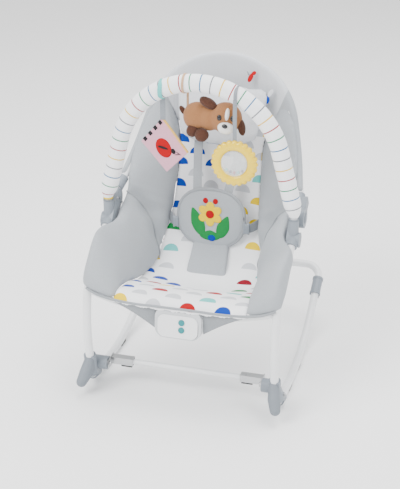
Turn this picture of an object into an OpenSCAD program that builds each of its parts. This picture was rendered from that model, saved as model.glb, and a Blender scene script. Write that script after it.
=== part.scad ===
// Infant bouncer seat on a rocking tube frame, with a reclining back, a toy bar and a vibration unit.
// Millimetres, +Z up, the seat faces -Y, the object is symmetric about x = 0.
// The origin is on the floor, in the middle of the footprint. "left" is the side at -X.

/* [Frame] */
// Outer diameter of the frame tubes
tube_d = 19; // [18:0.5:20]
// Wall of the frame tubes
tube_wall = 1.2; // [1:0.1:1.6]
// Half spacing of the two front legs
leg_x = 217; // [216:1:218]
// Half spacing of the two rocker rails
rail_x = 222; // [221:1:223]
// Forward lean of the front legs at the feet
leg_lean = 12; // [11:0.5:13]
// Radius of the springy bow of the front legs
leg_bow_r = 350; // [345:1:355]
// Slope of the side tubes under the arms of the seat
side_slope = 31; // [30:0.5:32]
// Radius of the rocker rails in front of their lowest point
rail_front_r = 700; // [680:5:720]
// Radius of the rocker rails behind their lowest point
rail_rear_r = 430; // [425:1:435]
// Slope at which the rails climb into the rear connectors
rail_end_slope = 33; // [32:0.5:34]
// Diameter of the two thin cross tubes
cross_d = 12.7; // [12:0.1:13]

/* [Backrest] */
// Radius of the round top of the back tube
back_top_r = 175; // [173:1:176]
// Angle of the upper back above the floor
back_slope = 67.5; // [67:0.5:68]
// Angle at which the back tube leaves the hubs
back_start = 33.5; // [33:0.5:34]
// Outward splay of the back tube's legs
back_splay = 13.5; // [13:0.5:14]
// Radius of the bend between hub and upper back
back_bend_r = 330; // [325:1:335]

/* [Toy bar] */
// Radius of the round top of the toy bar
bar_top_r = 189; // [187:1:190]
// Inward lean of the toy bar's legs
bar_lean = 14.4; // [14:0.1:15]
// Diameter of the padded sleeve
sleeve_d = 40; // [36:1:42]
// Diameter of the toy bar's tube
bar_d = 16; // [15:0.5:16]

/* [Control unit] */
// Width of the vibration unit
unit_w = 106; // [104:1:110]
// Height of the vibration unit
unit_h = 70; // [68:1:72]
// Depth of the vibration unit
unit_t = 34; // [33:1:36]
// Diameter of its two push buttons
button_d = 14; // [12:0.5:15]

/* [Hidden] */
$fn = 64;

// Gap between a tube and the plastic moulded round it
fit = 0.1;
// How far the rails stay above the floor, on their grip pads
pad_lift = 0.5;

// How far a straight length laps over a bend, and how much thicker its wall is on each side
lap = 0.5;
lap_skin = 0.05;

// Front leg and side tube: rim of the foot's cup, then a bow, a bend and a straight run to the hub
cup_top = [0, 90.5];
leg_sunk = 41.4;
leg_bow = 26;
side_bend_r = 70;
side_bend = 90 + leg_lean - leg_bow - side_slope;
leg_top = cup_top + leg_bow_r * [cos(leg_lean) - cos(leg_bow - leg_lean),
                                 sin(leg_lean) + sin(leg_bow - leg_lean)];
leg_join = 4;
bend_top = leg_top + leg_join * [sin(leg_bow - leg_lean), cos(leg_bow - leg_lean)] + side_bend_r * [cos(leg_bow - leg_lean) - cos(90 - side_slope),
                                    sin(90 - side_slope) - sin(leg_bow - leg_lean)];
side_end_y = 165;
side_len = (side_end_y - bend_top[0]) / cos(side_slope);

// Rocker rails: lowest point, front end in the foot, and rear end in the connector
rail_low_y = 178;
rail_low_z = tube_d / 2 + pad_lift;
rail_front_y = 24;
rail_flat = 8;
rail_start = 1;
rail_front_a = asin((rail_low_y - rail_flat / 2 - rail_front_y) / norm([rail_front_r, rail_start]))
    - atan(rail_start / rail_front_r);
rail_front_z = rail_low_z + rail_front_r * (1 - cos(rail_front_a)) + rail_start * sin(rail_front_a);
rail_arc_end = [rail_low_y + rail_flat / 2 + rail_rear_r * sin(rail_end_slope),
                rail_low_z + rail_rear_r * (1 - cos(rail_end_slope))];
rail_tail = 55;
rail_end = rail_arc_end + rail_tail * [cos(rail_end_slope), sin(rail_end_slope)];
base_leg = 19;
base_gap = 1.4;
base_bend_r = 38;
base_bar_y = rail_end[0] + (base_leg + base_bend_r) * cos(rail_end_slope);
base_bar_z = rail_end[1] + (base_leg + base_bend_r) * sin(rail_end_slope);

// Front tip of the foot shoes, and the middle of the footprint, measured back from the front legs
shoe_toe_y = -45;
mid_y = (shoe_toe_y + base_bar_y + tube_d / 2) / 2;

// Spring buttons of the rails
snap_d = 6;

// Grip pads: [y, z, slope] of the rail above the middle of each
grip_a = [asin(46 / rail_front_r), asin(42 / rail_rear_r)];
grip_front = [rail_low_y - rail_flat / 2 - 46, rail_low_z + rail_front_r * (1 - cos(grip_a[0])), -grip_a[0]];
grip_rear = [rail_low_y + rail_flat / 2 + 42, rail_low_z + rail_rear_r * (1 - cos(grip_a[1])), grip_a[1]];

// Hubs: pivot of the backrest, and the plane where the two hub halves meet
pivot = [196, 402];
hub_r = 23;
hub_split_x = 220;
hub_half_t = 16;
hub_gap = 0.2;
hub_screw_spots = [[180, 408], [207, 389]];
lobe = [158, 364];
lobe_r = 17;
pin_d = 8;

// Back tube, from the pivot up: straight in the hub arm, a long bend, the straight and the round top
back_hub_len = 40;
hub_reach = 28;
back_leg = 10;
back_bend = back_slope - back_start;
back_tube_x = back_top_r * cos(back_splay)
            + (back_leg + back_bend_r * sin(back_bend)) * sin(back_splay)
            + back_hub_len * cos(back_bend) * sin(back_splay);
back_drop = back_top_r * (1 - sin(back_splay)) + (back_leg + back_bend_r * sin(back_bend)) * cos(back_splay)
          + back_hub_len * cos(back_bend) * cos(back_splay);
back_fore = back_bend_r * (1 - cos(back_bend)) + back_hub_len * sin(back_bend);
back_top = pivot + back_drop * [cos(back_slope), sin(back_slope)]
         + back_fore * [sin(back_slope), -cos(back_slope)];

// Toy bar: foot of each leg, short upright stub, bend, leaning leg and round top
bar_foot = [217.5, 158, 411];
bar_stub = 12;
bar_bend_r = 60;
bar_leg = (bar_foot[0] - bar_bend_r * (1 - cos(bar_lean)) - bar_top_r * cos(bar_lean)) / sin(bar_lean);
bar_top_z = bar_foot[2] + bar_stub + bar_bend_r * sin(bar_lean) + bar_leg * cos(bar_lean)
          + bar_top_r * (1 - sin(bar_lean));
plug_len = 28;
plug_gap = 0.6;
spigot_d = bar_d - 2.6;

// Control unit: its middle, its tilt, and the front tube that it hangs on
unit_c = [0, 1, 206];
unit_tilt = 7;
front_tube = [6, 224];
front_tube_flat = 62;
front_tube_rise = 29;
front_tube_a = 2 * atan(front_tube_rise / (leg_x - front_tube_flat));
front_tube_r = (leg_x - front_tube_flat) / sin(front_tube_a);
wall = 2.2;
button_x = 9;
button_z = [9, -8.5];
cell_d = 14.5;
cell_len = 50.5;
motor_x = 32;

// Toys: where each hangs across the bar, the lower end of its strap, and the rattle's ring
flag_x = -83;
plush_x = -32;
ring_x = 86;
ring_y = bar_foot[1] - sleeve_d / 2 - 1.3;
plush_y = bar_foot[1] + sleeve_d / 2 + 1.3;
flag_top = 621.5;
plush_top = 640;
ring_top = 593.5;
ring_c = 539.5;
ring_r = 53;
ring_hole = 29;

// Fabric seat in the side view, as [y, z]: upper and lower side of the seat, front and rear of the back
panel_half = 126;
back_half = 98;
seat_line = [[294, 309], [274, 263], [246, 227], [205, 206], [140, 207], [50, 228], [-3, 231.6]];
seat_line_top = [[-3, 243.2], [50, 239.6], [140, 218.6], [202, 217.5], [238, 236], [264, 268], [287, 314]];
back_line = [[303, 376], [326, 440], [343, 500], [353, 584]];
back_line_rear = [[365, 581], [356, 497], [339, 434], [316, 369]];

// Colours
white_paint = "whitesmoke";
grey_plastic = "lightslategray";
grey_cloth = "lightgray";

// ---------- shared shapes ----------

// Moves a shape from the front legs' plane to the middle of the footprint
module place()
    translate([0, -mid_y, 0])
        children();

// Draws on the +X side, or mirrored on the -X side
module side(s)
    mirror([s < 0 ? 1 : 0, 0, 0])
        children();

// Section of a tube, or of a solid rod where the wall is 0
module tube_section(d, w)
    difference() {
        circle(d = d, $fn = 48);
        if (w > 0)
            circle(d = d - 2 * w, $fn = 48);
    }

// A bend that starts at the origin along +Z and turns towards +X
module tube_bend(d, w, r, a)
    translate([r, 0, 0])
        rotate([90, 0, 0])
            rotate([0, 0, 180 - a])
                rotate_extrude(angle = a, $fn = 180)
                    translate([r, 0])
                        tube_section(d, w);

// A straight length, a hair thicker than a bend and lapped over the bends at both ends
module tube_straight(d, w, len)
    translate([0, 0, -lap])
        linear_extrude(height = len + 2 * lap)
            tube_section(d + 2 * lap_skin, w > 0 ? w + 2 * lap_skin : 0);

// A tube along steps of [straight length, bend radius, bend angle, roll before the step]
module tube_run(steps, d, w, i = 0) {
    if (i < len(steps)) {
        s = steps[i];
        rotate([0, 0, s[3]]) {
            if (s[0] > 0)
                tube_straight(d, w, s[0]);
            translate([0, 0, s[0]]) {
                if (s[2] > 0)
                    tube_bend(d, w, s[1], s[2]);
                translate([s[1], 0, 0])
                    rotate([0, s[2], 0])
                        translate([-s[1], 0, 0])
                            tube_run(steps, d, w, i + 1);
            }
        }
    }
}

// Starts a run in the side view, at a point and a slope above the floor; bends then climb
module heading(x, y, z, slope)
    translate([x, y, z])
        rotate([slope - 90, 0, 0])
            rotate([0, 0, -90])
                children();

// A side view shape given as [y, z], thickened along X from x0 to x1
module slab(x0, x1)
    translate([x0, 0, 0])
        rotate([90, 0, 90])
            linear_extrude(height = x1 - x0)
                children();

// A rod along X
module rod_x(x0, x1, y, z, d)
    translate([x0, y, z])
        rotate([0, 90, 0])
            cylinder(d = d, h = x1 - x0);

// A flat rounded rectangle
module round_rect(w, h, r) {
    square([w - 2 * r, h], center = true);
    square([w, h - 2 * r], center = true);
    for (i = [-1, 1], j = [-1, 1])
        translate([i * (w / 2 - r), j * (h / 2 - r)])
            circle(r = r);
}

// A smooth cushion round a list of balls, each [x, y, z, radius]
module cushion(balls)
    hull()
        for (b = balls)
            translate([b[0], b[1], b[2]])
                sphere(r = b[3], $fn = 28);

// ---------- tube routes: outer diameter d, wall w, or w = 0 for a solid rod ----------

module rail_route(d, w = 0)
    heading(rail_x, rail_front_y, rail_front_z, -rail_front_a)
        tube_run([[rail_start, rail_front_r, rail_front_a, 0],
                  [rail_flat, rail_rear_r, rail_end_slope, 0],
                  [rail_tail, 0, 0, 0]], d, w);

module side_route(d, w = 0)
    heading(leg_x, cup_top[0] + leg_sunk * sin(leg_lean), cup_top[1] - leg_sunk * cos(leg_lean),
            90 + leg_lean)
        tube_run([[leg_sunk, leg_bow_r, leg_bow, 180],
                  [leg_join, side_bend_r, side_bend, 0],
                  [side_len, 0, 0, 0]], d, w);

// The whole rear tube, from the left rail's end to the right one's
module base_route(d, w = 0)
    translate([-rail_x, rail_end[0], rail_end[1]])
        rotate([rail_end_slope - 90, 0, 0])
            translate([0, 0, base_gap])
                tube_run([[base_leg - base_gap, base_bend_r, 90, 0],
                          [2 * (rail_x - base_bend_r), base_bend_r, 90, 0],
                          [base_leg - base_gap, 0, 0, 0]], d, w);

// The whole back tube, from the left hub arm over the round top to the right one
module back_route(d, w = 0)
    translate([-back_tube_x, pivot[0], pivot[1]])
        rotate([back_slope - 90, 0, 0])
            rotate([0, back_splay, 0])
                rotate([-back_bend, 0, 0])
                    translate([0, 0, hub_reach])
                        rotate([0, 0, -90])
                            tube_run([[back_hub_len - hub_reach, back_bend_r, back_bend, 0],
                                      [back_leg, back_top_r, 180 - 2 * back_splay, 90],
                                      [back_leg, back_bend_r, back_bend, -90],
                                      [back_hub_len - hub_reach, 0, 0, 0]], d, w);

// The whole toy bar, from the left foot over the top to the right foot
module bar_route(d, w, stub)
    translate([-bar_foot[0], bar_foot[1], bar_foot[2] + bar_stub - stub])
        tube_run([[stub, bar_bend_r, bar_lean, 0],
                  [bar_leg, bar_top_r, 180 - 2 * bar_lean, 0],
                  [bar_leg, bar_bend_r, bar_lean, 0],
                  [stub, 0, 0, 0]], d, w);

// The front tube of the seat, from its left end to its right one
module front_route(d, w = 0)
    translate([0, front_tube[0], front_tube[1]])
        rotate([0, 90, 0])
            rotate([0, 0, 180]) {
                tube_run([[front_tube_flat, front_tube_r, front_tube_a, 0]], d, w);
                mirror([0, 0, 1])
                    tube_run([[front_tube_flat, front_tube_r, front_tube_a, 0]], d, w);
            }

// ---------- base frame ----------

module rocker_rail(s)
    color(white_paint)
        place()
            side(s)
                difference() {
                    rail_route(tube_d, tube_wall);
                    snap_pin_spot()
                        cylinder(d = snap_d + 0.2, h = tube_d, $fn = 32);
                }

module rocker_rail_left() rocker_rail(-1);
module rocker_rail_right() rocker_rail(1);

module rear_base_tube()
    color(white_paint)
        place()
            base_route(tube_d, tube_wall);

// Sleeve that joins a rail to the rear tube
module rear_connector(s)
    color(grey_plastic)
        place()
            side(s)
                heading(rail_x, rail_end[0], rail_end[1], rail_end_slope)
                    difference() {
                        union() {
                            translate([0, 0, -30])
                                cylinder(d = 25, h = 48);
                            translate([0, 0, -30])
                                cylinder(d = 27, h = 6);
                            translate([0, 0, 12])
                                cylinder(d = 27, h = 6);
                        }
                        translate([0, 0, -31])
                            cylinder(d = tube_d + 2 * fit, h = 50);
                    }

module rear_connector_left() rear_connector(-1);
module rear_connector_right() rear_connector(1);

// Middle of the rail just below its connector, with +Z pointing out of the side
module snap_pin_spot()
    heading(rail_x, rail_end[0], rail_end[1], rail_end_slope)
        translate([0, 0, -37])
            rotate([-90, 0, 0])
                children();

// Spring buttons that hold the rails in their connectors
module rail_snap_pins()
    color("silver")
        place()
            for (s = [-1, 1])
                side(s)
                    snap_pin_spot() {
                        translate([0, 0, -tube_d / 2 + 2 * tube_wall])
                            cylinder(d = snap_d, h = tube_d - 2 * tube_wall, $fn = 32);
                        translate([0, 0, tube_d / 2])
                            sphere(d = snap_d, $fn = 32);
                    }

// Rubber shoes under the rails, flat on the floor, each grooved along its stretch of rail
module rail_grip_pads()
    color("dimgray")
        place()
            for (s = [-1, 1], p = [grip_front, grip_rear])
                side(s)
                    difference() {
                        translate([rail_x - 7, p[0] - 15, 0])
                            cube([14, 30, 8]);
                        heading(rail_x, p[0], p[1], p[2])
                            translate([0, 0, -20])
                                cylinder(d = tube_d + 0.8, h = 40);
                    }

// Plane that parts the foot from its shoe
module shoe_side()
    translate([leg_x - 60, cup_top[0] - 8, cup_top[1]])
        rotate([leg_lean, 0, 0])
            translate([0, -100, -110])
                cube([120, 100, 160]);

module foot_form() {
    cushion([[leg_x, 3, 74, 13.5], [leg_x + 3, 14, 40, 15], [rail_x, 30, 31, 13.4]]);
    translate([leg_x, cup_top[0], cup_top[1]])
        rotate([leg_lean, 0, 0])
            translate([0, 0, -40])
                cylinder(d = 28, h = 40);
    heading(rail_x, rail_front_y, rail_front_z, -rail_front_a)
        cylinder(d = 26, h = 30);
    rod_x(183, leg_x, 29, 58, 32);
}

module front_foot(s)
    color(grey_plastic)
        place()
            side(s)
                difference() {
                    foot_form();
                    side_route(tube_d + 2 * fit);
                    rail_route(tube_d + 2 * fit);
                    shoe_side();
                    rod_x(180, 204, 29, 58, 7);
                    rod_x(leg_x + 6, leg_x + 30, 22, 45, 5);
                }

module front_foot_left() front_foot(-1);
module front_foot_right() front_foot(1);

module foot_shoe(s)
    color("slategray")
        place()
            side(s)
                difference() {
                    intersection() {
                        cushion([[leg_x, -3, 76, 12.5], [leg_x + 4, -20, 54, 14],
                                 [leg_x + 10, shoe_toe_y + 12, 35, 12], [leg_x + 2, -4, 52, 14]]);
                        shoe_side();
                    }
                    side_route(tube_d + 2 * fit);
                }

module foot_shoe_left() foot_shoe(-1);
module foot_shoe_right() foot_shoe(1);

// Screws: one in each foot from outside, and two in each hub from inside
module frame_screws()
    color("silver")
        place()
            for (s = [-1, 1])
                side(s) {
                    rod_x(leg_x + 8, leg_x + 19, 22, 45, 4.9);
                    rod_x(leg_x + 18, leg_x + 20.5, 22, 45, 9);
                    for (p = hub_screw_spots) {
                        rod_x(hub_split_x - hub_half_t - 2.5, hub_split_x - hub_half_t, p[0], p[1], 8);
                        rod_x(hub_split_x - hub_half_t - 1, hub_split_x - hub_half_t + 9, p[0], p[1], 3.9);
                    }
                }

module cross_tube()
    color(white_paint)
        place()
            difference() {
                rod_x(-175, 175, 50, 58, cross_d);
                rod_x(-176, 176, 50, 58, cross_d - 2);
            }

// Folded steel channels that hold the cross tube to the feet
module cross_tube_brackets()
    color("silver")
        place()
            for (s = [-1, 1])
                side(s) {
                    difference() {
                        translate([128, 41, 50])
                            cube([54, 18, 17]);
                        translate([127, 42.6, 49])
                            cube([56, 14.8, 16.4]);
                        translate([138, 50, 60])
                            cylinder(d = 4, h = 10, $fn = 24);
                    }
                    difference() {
                        translate([180, 20, 47])
                            cube([2, 40, 22]);
                        rod_x(179, 183, 29, 58, 7);
                    }
                }

// Rivets through the channels and the cross tube, and the two foot rivets
module bracket_rivets()
    color("gray")
        place()
            for (s = [-1, 1])
                side(s) {
                    translate([138, 50, 67.05])
                        cylinder(d = 8, h = 1.6, $fn = 32);
                    translate([138, 50, 64.4])
                        cylinder(d = 3.9, h = 3, $fn = 24);
                    rod_x(178, 203, 29, 58, 6.9);
                    rod_x(176.4, 178, 29, 58, 12);
                }

// Dark stops under the channels
module fold_stops()
    color("darkslategray")
        place()
            for (s = [-1, 1])
                side(s)
                    difference() {
                        translate([131, 43.5, 45])
                            cube([26, 13, 8]);
                        rod_x(130, 158, 50, 58, cross_d + 0.2);
                    }

// ---------- seat frame ----------

module seat_side_tube(s)
    color(white_paint)
        place()
            side(s)
                side_route(tube_d, tube_wall);

module seat_side_tube_left() seat_side_tube(-1);
module seat_side_tube_right() seat_side_tube(1);

// Thin tube along the front edge of the seat, which also carries the control unit
module seat_front_tube()
    color(white_paint)
        place()
            difference() {
                front_route(cross_d, 1);
                for (s = [-1, 1])
                    side(s)
                        side_route(tube_d + 2 * fit);
            }

// Fixed half of a hub: it holds the side tube, the toy bar and the pivot pin
module side_hub(s)
    color(grey_plastic)
        place()
            side(s)
                difference() {
                    union() {
                        rod_x(hub_split_x - hub_half_t, hub_split_x - hub_gap, pivot[0], pivot[1], 2 * hub_r);
                        slab(hub_split_x - hub_half_t, hub_split_x - hub_gap)
                            hub_web();
                        slab(hub_split_x - hub_half_t, leg_x + 16)
                            translate(lobe)
                                circle(r = lobe_r);
                        heading(leg_x, bend_top[0], bend_top[1], side_slope)
                            translate([0, 0, side_len - 34])
                                cylinder(d = 27, h = 36);
                        translate([bar_foot[0], bar_foot[1], bar_foot[2] - plug_len - 6])
                            cylinder(d = 23.6, h = plug_len + 6);
                    }
                    side_route(tube_d + 2 * fit);
                    translate([bar_foot[0], bar_foot[1], bar_foot[2] - plug_len - 1])
                        cylinder(d = bar_d + 0.16, h = plug_len + 2);
                    rod_x(hub_split_x - 20, hub_split_x + 20, pivot[0], pivot[1], pin_d + 0.1);
                    for (p = hub_screw_spots)
                        rod_x(hub_split_x - hub_half_t - 1, hub_split_x - hub_half_t + 10, p[0], p[1], 4);
                }

// Side view of the web between the disc and the lower lobe
module hub_web()
    polygon([[pivot[0] - 20, pivot[1] + 11], [lobe[0] - 13, lobe[1] + 11],
             [lobe[0] + 11, lobe[1] - 13], [pivot[0] + 11, pivot[1] - 20]]);

module side_hub_left() side_hub(-1);
module side_hub_right() side_hub(1);

// The straight length of back tube inside a hub arm, as a rod of diameter d from a to b
module arm_rod(d, a, b)
    translate([back_tube_x, pivot[0], pivot[1]])
        rotate([back_slope - 90, 0, 0])
            rotate([0, -back_splay, 0])
                rotate([-back_bend, 0, 0])
                    translate([0, 0, a])
                        cylinder(d = d, h = b - a);

// Moving half of a hub: it holds the end of the back tube
module hub_arm(s)
    color(grey_plastic)
        place()
            side(s)
                difference() {
                    union() {
                        rod_x(hub_split_x + hub_gap, hub_split_x + hub_half_t, pivot[0], pivot[1], 2 * hub_r);
                        slab(hub_split_x + hub_gap, hub_split_x + hub_half_t - 2)
                            arm_web();
                        arm_rod(26, 29, 62);
                    }
                    back_route(tube_d + 2 * fit);
                    rod_x(hub_split_x, hub_split_x + hub_half_t + 1, pivot[0], pivot[1], pin_d + 0.1);
                    rod_x(hub_split_x + hub_half_t - 6, hub_split_x + hub_half_t + 1, pivot[0], pivot[1], 24.6);
                }

// Side view of the web between the moving disc and the tube socket
module arm_web()
    translate(pivot)
        rotate(back_start)
            translate([0, -13])
                square([50, 26]);

module hub_arm_left() hub_arm(-1);
module hub_arm_right() hub_arm(1);

// Steel pins that the backrest turns on
module hub_pivot_pins()
    color("silver")
        place()
            for (s = [-1, 1])
                side(s)
                    rod_x(hub_split_x - hub_half_t - 1.5, hub_split_x + hub_half_t - 6.5,
                          pivot[0], pivot[1], pin_d);

// Push button in the outer face of a hub, which frees the recline lock
module recline_button(s)
    color("slategray")
        place()
            side(s)
                difference() {
                    union() {
                        rod_x(hub_split_x + hub_half_t - 2.8, hub_split_x + hub_half_t + 1.5,
                              pivot[0], pivot[1], 24);
                        rod_x(hub_split_x + hub_half_t + 1, hub_split_x + hub_half_t + 2.5,
                              pivot[0], pivot[1], 20);
                    }
                    rod_x(hub_split_x + hub_half_t - 3, hub_split_x + hub_half_t + 0.4,
                          pivot[0], pivot[1], 20);
                }

module recline_button_left() recline_button(-1);
module recline_button_right() recline_button(1);

module seat_back_tube()
    color(white_paint)
        place()
            back_route(tube_d, tube_wall);

// ---------- toy bar ----------

module toy_bar_tube()
    color("white")
        place()
            bar_route(bar_d, 1.2, bar_stub);

// Padded sleeve round the tube
module toy_bar_sleeve()
    color("white")
        place()
            bar_route(sleeve_d, (sleeve_d - bar_d) / 2 - 0.4, 4);

// End plugs that push into the hubs, each with a spigot in the tube, and a collar round the tube
module toy_bar_plugs()
    color(grey_plastic)
        place()
            for (s = [-1, 1])
                side(s)
                    translate(bar_foot) {
                        translate([0, 0, -plug_len])
                            cylinder(d = bar_d, h = plug_len - plug_gap);
                        translate([0, 0, -plug_len + 5])
                            cylinder(d = spigot_d, h = plug_len + 5);
                        translate([0, 0, 0.4])
                            difference() {
                                cylinder(d = 21, h = 2.4);
                                translate([0, 0, -0.3])
                                    cylinder(d = bar_d + 0.2, h = 3);
                            }
                    }

// A flat hanging strap, at x and y, from z0 up to z1
module strap(x, y, z0, z1, w, t)
    translate([x - w / 2, y - t / 2, z0])
        cube([w, t, z1 - z0]);

// Height of the toy bar's underside above a point x
function bar_under(x) = bar_top_z - bar_top_r + sqrt(pow(bar_top_r - sleeve_d / 2, 2) - x * x);

// Height at which a strap leaves the front or back of the sleeve, above a point x
function bar_side(x) = bar_top_z - bar_top_r + sqrt(pow(bar_top_r, 2) - x * x) - 4;

module flag_strap() color("gray") place() strap(flag_x, bar_foot[1], flag_top, bar_under(flag_x - 6) - 0.8, 12, 1.6);
module plush_strap() color("tan") place() strap(plush_x, plush_y, plush_top, bar_side(plush_x), 7, 2);
module ring_strap() color("gray") place() strap(ring_x, ring_y, ring_top, bar_side(ring_x), 9, 2);

// Four-cornered cloth flag, hung from one corner
module flag_toy()
    color("pink")
        place()
            translate([0, bar_foot[1] + 3, 0])
                rotate([90, 0, 0])
                    linear_extrude(height = 6)
                        polygon([[flag_x - 3, flag_top - 0.5], [-135, 562], [-75, 495], [-26, 545]]);

// Soft dog, long body lying level
module plush_toy()
    color("tan")
        place()
            difference() {
                cushion([[-4, plush_y, 624, 32], [58, 176, 622, 33]]);
                strap(plush_x, plush_y, plush_top - 20, plush_top + 10, 8, 3);
            }

// Scalloped ring of the rattle
module rattle_ring()
    color("gold")
        place()
            translate([ring_x, ring_y + 8, ring_c])
                rotate([90, 0, 0])
                    linear_extrude(height = 16)
                        difference() {
                            union() {
                                circle(r = ring_r - 4);
                                for (i = [0 : 23])
                                    rotate(i * 15)
                                        translate([ring_r - 6, 0])
                                            circle(r = 6, $fn = 24);
                            }
                            circle(r = ring_hole);
                        }

// Clear front and back windows of the rattle
module rattle_windows()
    color("lightcyan", 0.4)
        place()
            for (y = [-7, 5])
                translate([ring_x, ring_y + y + 2, ring_c])
                    rotate([90, 0, 0])
                        cylinder(r = ring_hole - 0.1, h = 2);

// Loose beads at the bottom of the rattle
module rattle_beads()
    color("crimson")
        place()
            for (i = [0 : 4])
                translate([ring_x - 18 + 9 * i, ring_y, ring_c - 22.5 + 5.4 * pow((i - 2) / 2, 2)])
                    sphere(r = 3.6, $fn = 24);

// ---------- soft seat ----------

module seat_panel()
    color("white")
        place()
            difference() {
                slab(-panel_half, panel_half)
                    polygon(concat(seat_line, seat_line_top));
                front_route(cross_d + 0.6);
                translate([-unit_w / 2 - 1, -30, unit_c[2]])
                    cube([unit_w + 2, 53.5, 60]);
            }

// Side cushion of the seat, from the front corner to the hub
module seat_bolster(s)
    color(grey_cloth)
        place()
            side(s)
                difference() {
                    cushion([[144, 8, 246, 10], [212, 12, 264, 15], [150, 110, 252, 20],
                             [196, 60, 304, 19], [204, 112, 334, 17], [146, 205, 246, 16],
                             [160, 205, 320, 15]]);
                    side_route(tube_d + 0.6);
                    front_route(cross_d + 0.6);
                }

module seat_bolster_left() seat_bolster(-1);
module seat_bolster_right() seat_bolster(1);

module back_panel()
    color("whitesmoke")
        place() {
            slab(-back_half, back_half)
                polygon(concat(back_line, back_line_rear));
            translate([0, back_top[0], back_top[1]])
                rotate([back_slope, 0, 0])
                    translate([0, 0, -9])
                        linear_extrude(height = 14)
                            intersection() {
                                translate([0, -back_top_r])
                                    circle(r = back_top_r - 12);
                                translate([1 - back_half, -140])
                                    square([2 * back_half - 2, 140]);
                            }
        }

// Side cushion of the backrest, between the panel and the back tube
module back_bolster(s)
    color(grey_cloth)
        place()
            side(s)
                difference() {
                    cushion([[116, 300, 378, 15], [176, 268, 392, 14], [194, 292, 462, 12],
                             [180, 352, 566, 12], [113, 352, 548, 13], [128, 376, 622, 10]]);
                    back_route(tube_d + 0.6);
                }

module back_bolster_left() back_bolster(-1);
module back_bolster_right() back_bolster(1);

// Head support that stands proud of the upper back
module head_pillow()
    color("white")
        place()
            cushion([for (s = [-1, 1], b = [[70, 320.5, 558.5, 18], [40, 308.5, 530.5, 18], [74, 350, 636, 13]])
                        [s * b[0], b[1], b[2], b[3]]]);

// Wide fabric strap between the legs, from the seat up to the plate
module crotch_panel()
    color(grey_cloth)
        place()
            slab(-42, 42)
                polygon([[210, 227], [219, 232], [254, 279.3], [246, 279.3]]);

// Padded plate over the tummy
module belly_plate()
    color(grey_cloth)
        place()
            translate([0, 261, 349])
                rotate([88, 0, 0])
                    translate([0, 0, -8])
                        linear_extrude(height = 16)
                            round_rect(158, 138, 56);

module waist_straps()
    color("gray")
        place()
            for (s = [-1, 1])
                side(s)
                    translate([92, 258, 322])
                        cube([34, 3, 20]);

module waist_buckles()
    color("gray")
        place()
            for (s = [-1, 1])
                side(s)
                    translate([80, 254, 316])
                        cube([11.5, 11, 32]);

module shoulder_straps()
    color("silver")
        place()
            for (s = [-1, 1])
                side(s)
                    hull() {
                        translate([30, 274, 421])
                            cube([18, 2.5, 2]);
                        translate([42, 300, 499])
                            cube([18, 2.5, 2]);
                    }

// Fabric gusset on both sides of the control unit
module unit_skirt()
    color("darkgray")
        place()
            for (s = [-1, 1])
                side(s)
                    translate([0, -1, 0])
                        rotate([90, 0, 0])
                            linear_extrude(height = 3)
                                polygon([[55, 182], [55, 228], [118, 230]]);

// ---------- control unit ----------

// Puts a shape in the unit's own frame: x across, y up its face, z out of its face
module unit_frame()
    translate(unit_c)
        rotate([90 - unit_tilt, 0, 0])
            children();

module control_housing()
    color("gainsboro")
        place()
            difference() {
                unit_frame()
                    difference() {
                        translate([0, 0, -unit_t / 2])
                            linear_extrude(height = unit_t)
                                round_rect(unit_w, unit_h, 22);
                        translate([0, 0, -unit_t / 2 + wall])
                            linear_extrude(height = unit_t)
                                translate([0, -8])
                                    round_rect(unit_w - 2 * wall - 8, unit_h - 2 * wall - 16, 16);
                        translate([-28, -unit_h / 2 + 12, -unit_t / 2 - 1])
                            cube([56, 30, wall + 2]);
                    }
                rod_x(-unit_w, unit_w, front_tube[0], front_tube[1], cross_d + 2 * fit);
            }

module control_face()
    color("white")
        place()
            unit_frame()
                difference() {
                    translate([0, -6, unit_t / 2 + 0.1])
                        linear_extrude(height = 2)
                            round_rect(unit_w - 14, unit_h - 18, 16);
                    for (z = button_z)
                        translate([button_x, z - 4, 0])
                            cylinder(d = button_d + 0.4, h = unit_t);
                }

module control_button(z)
    color("teal")
        place()
            unit_frame()
                translate([button_x, z - 4, unit_t / 2 - 5]) {
                    cylinder(d = button_d, h = 8.6);
                    cylinder(d = button_d + 3, h = 3.4);
                }

module control_button_upper() control_button(button_z[0]);
module control_button_lower() control_button(button_z[1]);

module control_board()
    color("darkgreen")
        place()
            unit_frame()
                translate([-40, -28, 6])
                    cube([80, 34, 1.6]);

// One AA cell lying across the unit
module battery()
    color("goldenrod")
        place()
            unit_frame()
                translate([-27.5, -20.5, -6])
                    rotate([0, 90, 0]) {
                        cylinder(d = cell_d, h = cell_len - 1.3);
                        cylinder(d = 5.5, h = cell_len);
                    }

module battery_door()
    color("lightgray")
        place()
            unit_frame()
                translate([-27.7, -unit_h / 2 + 12.3, -unit_t / 2])
                    cube([55.4, 29.4, wall - 0.4]);

module vibration_motor()
    color("silver")
        place()
            unit_frame() {
                translate([motor_x, -12, -4])
                    rotate([90, 0, 0])
                        cylinder(d = 14, h = 16);
                translate([motor_x, -12.1, -4])
                    rotate([-90, 0, 0])
                        cylinder(d = 2, h = 9);
            }

// Off-centre weight on the motor's shaft
module motor_weight()
    color("goldenrod")
        place()
            unit_frame()
                translate([motor_x, -9, -4])
                    rotate([-90, 0, 0])
                        difference() {
                            intersection() {
                                cylinder(d = 16, h = 5);
                                translate([-8, -2, 0])
                                    cube([16, 10, 5]);
                            }
                            translate([0, 0, -1])
                                cylinder(d = 2.06, h = 7);
                        }

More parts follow.
